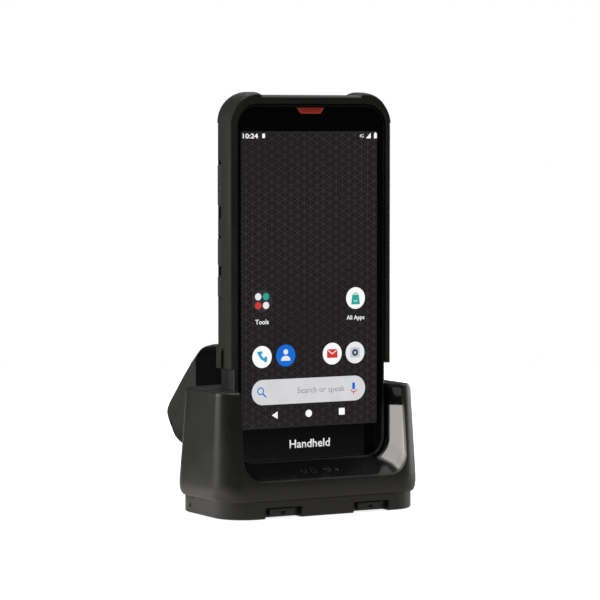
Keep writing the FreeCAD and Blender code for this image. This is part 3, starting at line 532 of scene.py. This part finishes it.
# magnifier and microphone capsule
e.ring(-24.1, 52.2, 1.15, 1.65, 0, 360, 28)
t = math.radians(-45)
px, pz = -24.1 + 1.4 * math.cos(t), 52.2 + 1.4 * math.sin(t)
e.poly([(px - .2, pz - .25), (px + .22, pz + .2), (px + 1.85, pz - 1.45), (px + 1.42, pz - 1.9)])
e.rrect(20.35, 21.75, 51.0, 54.1, 0.69, 6)
e.done()
e = Layer("screen_grey_text", grey, 0.042)
e.text("Search or speak", 5.1, 51.4, width=23.0, bold=-0.004)
e.done()
e = Layer("screen_camera_body", lgrey, 0.042)
e.rrect(19.5, 24.0, 64.6, 68.9, 0.5, 4)
e.done()
e = Layer("screen_camera_lens", navy, 0.064)
e.ring(21.76, 66.74, 0.62, 1.45, 0, 360, 28)
e.done()
e = Layer("screen_envelope_fold", soft_w, 0.064)
for s in (-1, 1):
    e.poly([(10.55, 66.35), (10.55, 66.85), (10.55 + s * 2.35, 68.55), (10.55 + s * 2.35, 68.05)])
e.ring(21.97, 89.2, 0.55, 0.85, 180, 360, 14)
e.done()

# printed word on the glass under the display
ink = moulded("white_ink", (0.90, 0.90, 0.90), 0.35, grain=0.15, grain_mm=0.2, var=0.04)
ib = ink.node_tree.nodes["Principled BSDF"]
# painted light: the printed white ink also glows at 0.5, so the word reads bright whatever light falls on it
ib.inputs["Emission Color"].default_value = (1, 1, 1, 1)
ib.inputs["Emission Strength"].default_value = 0.50
w = Layer("front_word", ink, 0.004, 0.015)
w.text("Handheld", -0.4, 29.2, width=19.6, height=3.5, bold=0.016)
word = w.done()
word.visible_glossy = False


# ------------------------------------------------------------------ raised marks on the cradle's ledge
def ledge(u, v, lift):
    """u across, v up the sloping ledge in mm from its middle, lift off its face."""
    o = Vector((0.0, -8.8, 18.29))
    return (o + Vector((u, 0.9038 * v, 0.4280 * v)) + Vector((0, -0.4280, 0.9038)) * lift)


bm = bmesh.new()


def raise_poly(pts, h=0.16):
    top = [bm.verts.new((ledge(u, v, h) + Vector((0, SH, 0))) * MM) for u, v in pts]
    bot = [bm.verts.new((ledge(u * 1.0, v * 1.0, -0.15) + Vector((0, SH, 0))) * MM) for u, v in pts]
    bm.faces.new(top)
    bm.faces.new(list(reversed(bot)))
    for i in range(len(pts)):
        j = (i + 1) % len(pts)
        bm.faces.new((top[i], bot[i], bot[j], top[j]))


def bar(u0, v0, u1, v1, w=0.32):
    d = Vector((u1 - u0, v1 - v0)).normalized()
    n = Vector((-d.y, d.x)) * w * 0.5
    raise_poly([(u0 - n.x, v0 - n.y), (u1 - n.x, v1 - n.y), (u1 + n.x, v1 + n.y), (u0 + n.x, v0 + n.y)])


# arrows down into the cradle, an outline of a handheld, and a charge bolt
for ox in (-8.0, 3.4):
    bar(ox - 1.6, 1.3, ox + 1.6, 1.3)
    bar(ox - 1.6, 1.3, ox, -1.5)
    bar(ox + 1.6, 1.3, ox, -1.5)
for ox in (-3.6,):
    bar(ox - 1.0, -1.5, ox - 1.0, 1.5); bar(ox + 1.0, -1.5, ox + 1.0, 1.5)
    bar(ox - 1.16, 1.5, ox + 1.16, 1.5); bar(ox - 1.16, -1.5, ox + 1.16, -1.5)
ox = 7.8
raise_poly([(ox + 0.5, 1.7), (ox - 1.2, -0.3), (ox - 0.1, -0.3), (ox - 0.6, -1.8), (ox + 1.2, 0.35), (ox + 0.1, 0.35)])
# the raised marks are a satin grey lighter (0.030) than the cradle around them: painted highlight for the light their
# edges catch
mark_highlight_m = moulded("ledge_mark_satin_painted_highlight", (0.030, 0.030, 0.028), 0.38, grain=0.2, grain_mm=0.3, spec=0.5)
obj_from_bm(bm, "ledge_marks", mark_highlight_m, "cradle")


# ------------------------------------------------------------------ stage: floor, light, dark card
def plane(name, loc, size, rot, mat, cam_vis=True, glossy=True, diffuse=True, shadow=True):
    me = bpy.data.meshes.new(name)
    sx, sy = size[0] / 2, size[1] / 2
    me.from_pydata([(-sx, -sy, 0), (sx, -sy, 0), (sx, sy, 0), (-sx, sy, 0)], [], [(0, 1, 2, 3)])
    o = bpy.data.objects.new(name, me)
    scene.collection.objects.link(o)
    o.location = loc
    o.rotation_euler = rot
    me.materials.append(mat)
    o.visible_camera = cam_vis
    o.visible_glossy = glossy
    o.visible_diffuse = diffuse
    o.visible_shadow = shadow
    return o


def disc_obj(name, radius, z, mat):
    n = 64
    me = bpy.data.meshes.new(name)
    me.from_pydata([(radius * math.cos(2 * math.pi * i / n), radius * math.sin(2 * math.pi * i / n), z) for i in range(n)],
                   [], [list(range(n))])
    o = bpy.data.objects.new(name, me)
    scene.collection.objects.link(o)
    me.materials.append(mat)
    return o


# the floor as the camera sees it: pale, taking the object's own soft shadow
fm, nt, bs = new_mat("floor_white")
bs.inputs["Base Color"].default_value = (0.80, 0.80, 0.80, 1)
bs.inputs["Roughness"].default_value = 0.8
bs.inputs["Specular IOR Level"].default_value = 0.0
bs.inputs["Emission Color"].default_value = (1, 1, 1, 1)
bs.inputs["Emission Strength"].default_value = 0.86
floor = disc_obj("floor", 0.78, 0.0, fm)
floor.visible_glossy = False
floor.visible_diffuse = False
floor.visible_transmission = False
# the same floor as the object sees it, mostly dimmer, with painted light in its glow: a bright pool (up to 1.35) close
# to the object on its left, dark towards the front-left and fading to the rear and further out; an even 0.45 to the
# right
gm, nt, bs = new_mat("floor_bounce")
bs.inputs["Base Color"].default_value = (0.25, 0.25, 0.25, 1)
bs.inputs["Roughness"].default_value = 1.0
bs.inputs["Specular IOR Level"].default_value = 0.0
bs.inputs["Emission Color"].default_value = (1.0, 0.97, 0.93, 1)
tcf = nt.nodes.new("ShaderNodeTexCoord").outputs["Object"]
fs = nt.nodes.new("ShaderNodeSeparateXYZ")
nt.links.new(tcf, fs.inputs[0])
dist = nt.nodes.new("ShaderNodeVectorMath")
dist.operation = "LENGTH"
nt.links.new(tcf, dist.inputs[0])
near = remap(nt, dist.outputs["Value"], 1.35, 0.16, 0.13, 0.26)
rear = math_node(nt, "MULTIPLY", math_node(nt, "MULTIPLY", near, remap(nt, fs.outputs["Y"], 0.02, 1.0, -0.10, -0.02)),
                 remap(nt, fs.outputs["Y"], 1.0, 0.3, 0.04, 0.10))
side = remap(nt, fs.outputs["X"], 1.0, 0.0, -0.10, -0.03)
front = math_node(nt, "MULTIPLY", math_node(nt, "SUBTRACT", 1.0, side), 0.45)
nt.links.new(math_node(nt, "MULTIPLY_ADD", rear, side, front), bs.inputs["Emission Strength"])
bounce = disc_obj("floor_bounce", 0.75, -0.0004, gm)
bounce.visible_camera = False
bounce.visible_shadow = False

# white surround that only the camera sees
dm = bpy.data.materials.new("surround_white")
dm.use_nodes = True
dn = dm.node_tree
dn.nodes.clear()
em = dn.nodes.new("ShaderNodeEmission")
em.inputs[0].default_value = (1, 1, 1, 1)
em.inputs[1].default_value = 1.0
do = dn.nodes.new("ShaderNodeOutputMaterial")
dn.links.new(em.outputs[0], do.inputs[0])
bm = bmesh.new()
bmesh.ops.create_uvsphere(bm, u_segments=32, v_segments=16, radius=9.0)
bmesh.ops.reverse_faces(bm, faces=bm.faces)
me = bpy.data.meshes.new("surround")
bm.to_mesh(me)
bm.free()
dome = bpy.data.objects.new("surround", me)
scene.collection.objects.link(dome)
me.materials.append(dm)
dome.visible_glossy = False
dome.visible_diffuse = False
dome.visible_shadow = False
dome.visible_transmission = False

world = bpy.data.worlds.new("world")
scene.world = world
world.use_nodes = True
bg = world.node_tree.nodes["Background"]
bg.inputs[0].default_value = (1, 1, 1, 1)
bg.inputs[1].default_value = 0.03

km, nt, bs = new_mat("card_black")
bs.inputs["Base Color"].default_value = (0.002, 0.002, 0.002, 1)
bs.inputs["Roughness"].default_value = 1.0
bs.inputs["Specular IOR Level"].default_value = 0.0
tcc = nt.nodes.new("ShaderNodeTexCoord").outputs["Object"]
sp = nt.nodes.new("ShaderNodeSeparateXYZ")
nt.links.new(tcc, sp.inputs[0])
bs.inputs["Emission Color"].default_value = (1, 1, 1, 1)
nt.links.new(remap(nt, sp.outputs["Y"], 0.125, 0.012, -0.256, -0.236), bs.inputs["Emission Strength"])
card = plane("dark_card", (0.094, -0.170, 0.2605), (0.30, 0.52), (math.radians(90), 0, math.radians(29.5)), km,
             cam_vis=False, shadow=False, diffuse=False)

# a small lit reflector standing across the trough, with a black back, both seen only in gloss
rm, nt, bs = new_mat("card_reflector")
bs.inputs["Base Color"].default_value = (0.5, 0.5, 0.5, 1)
bs.inputs["Roughness"].default_value = 1.0
bs.inputs["Emission Color"].default_value = (1.0, 0.97, 0.93, 1)
bs.inputs["Emission Strength"].default_value = 7.0
km2, nt, bs = new_mat("card_back")
bs.inputs["Base Color"].default_value = (0.002, 0.002, 0.002, 1)
bs.inputs["Roughness"].default_value = 1.0
bs.inputs["Specular IOR Level"].default_value = 0.0
for nm, xx, yy, ww, zz, hh, mt in (("trough_reflector", 0.0312, -0.0144, 0.0070, 0.0330, 0.0208, rm),
                                   ("trough_reflector_back", 0.03115, -0.0142, 0.0083, 0.0330, 0.0220, km2)):
    glow = plane(nm, (xx, yy, zz), (ww, hh), (math.radians(90), 0, math.radians(90)), mt,
                 cam_vis=False, shadow=False, diffuse=False)
    glow.visible_transmission = False


def area(name, loc, size, power, target=(0, 0, 0.08), shape="RECTANGLE", col=(1, 1, 1)):
    ld = bpy.data.lights.new(name, "AREA")
    ld.shape = shape
    ld.size, ld.size_y = size
    ld.energy = power
    ld.color = col
    o = bpy.data.objects.new(name, ld)
    scene.collection.objects.link(o)
    o.location = loc
    o.rotation_euler = (Vector(target) - Vector(loc)).to_track_quat("-Z", "Y").to_euler()
    o.visible_camera = False
    return o


area("left_softbox", (-0.78, 0.50, 0.30), (0.62, 0.6), 3.4)
area("top_softbox", (0.05, -0.15, 1.15), (1.0, 0.9), 10.0)
area("rim_softbox", (0.38, 0.66, 0.84), (0.7, 0.4), 1.8)
area("right_softbox", (0.80, 0.45, 0.26), (0.5, 0.5), 3.2)
area("right_strip", (0.88, 0.0, 0.16), (0.30, 0.36), 1.1)
area("front_fill", (0.05, -1.3, 0.95), (0.7, 0.5), 1.0)
